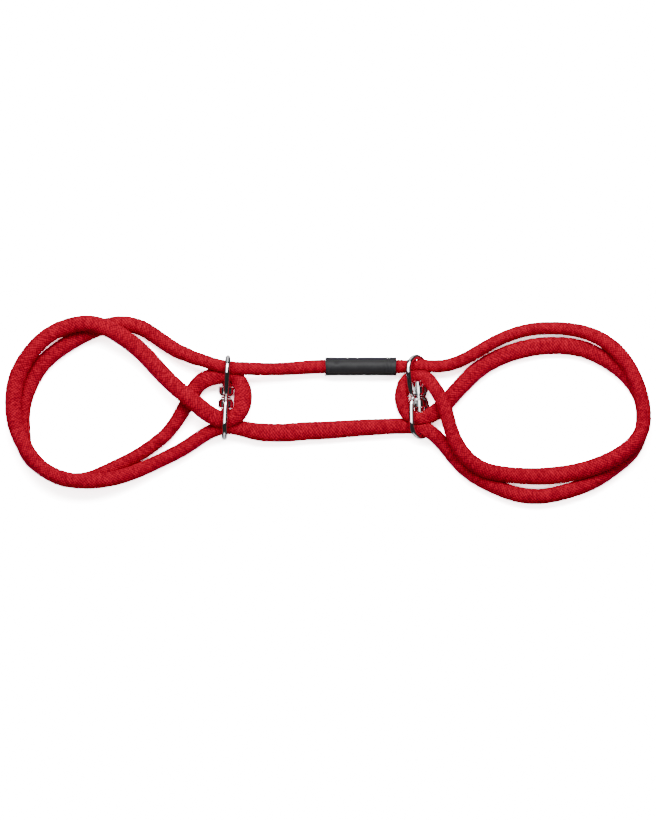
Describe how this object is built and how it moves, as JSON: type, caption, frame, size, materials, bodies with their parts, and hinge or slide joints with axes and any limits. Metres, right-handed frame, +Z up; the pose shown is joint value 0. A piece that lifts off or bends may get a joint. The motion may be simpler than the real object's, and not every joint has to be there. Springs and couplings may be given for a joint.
{
  "type": "adjustable rope cuff pair",
  "caption": "Soft braided rope wound into linked double-loop cuffs that tighten with chrome figure-8 slides fitted with grooved roller barrels.",
  "frame": {"origin": "middle of the footprint, on the table the set lies on", "axes": "+X from the left cuff to the right cuff, +Y across the set towards the sleeved strand, +Z up from the table"},
  "size_m": [0.3857, 0.112, 0.0181],
  "materials": {
    "rope": "soft matt braided cord",
    "sleeve": "satin shrink tube",
    "chrome_wire": "bright plated",
    "chrome_roller": "bright plated"
  },
  "bodies": {
    "right_side": {"joint_sleeve": "sleeve", "rope_sleeve_end_left": "rope", "rope_link_top_right": "rope", "rope_link_top_fold": "rope", "rope_link_bottom_fold": "rope", "rope_link_bottom_right": "rope", "rope_right_lobe_top": "rope", "rope_right_upper_winding": "rope", "rope_right_lower_winding": "rope", "rope_right_lobe_bottom": "rope", "rope_right_cross_over": "rope", "rope_right_cross_under": "rope"},
    "left_side": {"rope_link_top_left": "rope", "rope_link_bottom_left": "rope", "rope_left_lobe_top": "rope", "rope_left_lower_winding": "rope", "rope_left_upper_winding": "rope", "rope_left_lobe_bottom": "rope", "rope_left_cross_over": "rope", "rope_left_cross_under": "rope"},
    "left_bight": {"rope_left_bight": "rope"},
    "left_frame": {"left_slide_frame": "chrome_wire"},
    "left_barrel": {"left_roller_upper": "chrome_roller", "left_roller_lower": "chrome_roller", "left_barrel_pin": "chrome_roller"},
    "right_bight": {"rope_right_bight": "rope"},
    "right_frame": {"right_slide_frame": "chrome_wire"},
    "right_barrel": {"right_roller_upper": "chrome_roller", "right_roller_lower": "chrome_roller", "right_barrel_pin": "chrome_roller"}
  },
  "joints": [
    {"name": "link_fold", "type": "hinge", "parent": "right_side", "child": "left_side", "pos_m": [-0.0141, 0.0055, 0.0055], "axis": [0, 1, 0], "range_deg": [-120, 120], "deforming": ["rope_link_top_fold", "rope_link_bottom_fold"]},
    {"name": "left_slide_travel", "type": "slide", "parent": "left_side", "child": "left_bight", "axis": [1, 0, 0], "range_m": [-0.008, 0.015], "deforming": ["rope_left_lobe_top", "rope_left_lobe_bottom", "rope_left_cross_over", "rope_left_cross_under"]},
    {"name": "left_slide_rock", "type": "hinge", "parent": "left_bight", "child": "left_frame", "pos_m": [-0.0604, 0.0072, 0.0091], "axis": [0.0454, 0.999, 0], "range_deg": [-25, 25]},
    {"name": "left_barrel_spin", "type": "hinge", "parent": "left_frame", "child": "left_barrel", "pos_m": [-0.0604, 0.0072, 0.0091], "axis": [0.0454, 0.999, 0], "continuous": true},
    {"name": "right_slide_travel", "type": "slide", "parent": "right_side", "child": "right_bight", "axis": [1, 0, 0], "range_m": [-0.005, 0.008], "deforming": ["rope_right_lobe_top", "rope_right_lobe_bottom", "rope_right_cross_over", "rope_right_cross_under"]},
    {"name": "right_slide_rock", "type": "hinge", "parent": "right_bight", "child": "right_frame", "pos_m": [0.0548, 0.0076, 0.0071], "axis": [-0.0628, 0.998, 0], "range_deg": [0, 75]},
    {"name": "right_barrel_spin", "type": "hinge", "parent": "right_frame", "child": "right_barrel", "pos_m": [0.0548, 0.0076, 0.0071], "axis": [-0.0628, 0.998, 0], "continuous": true}
  ]
}
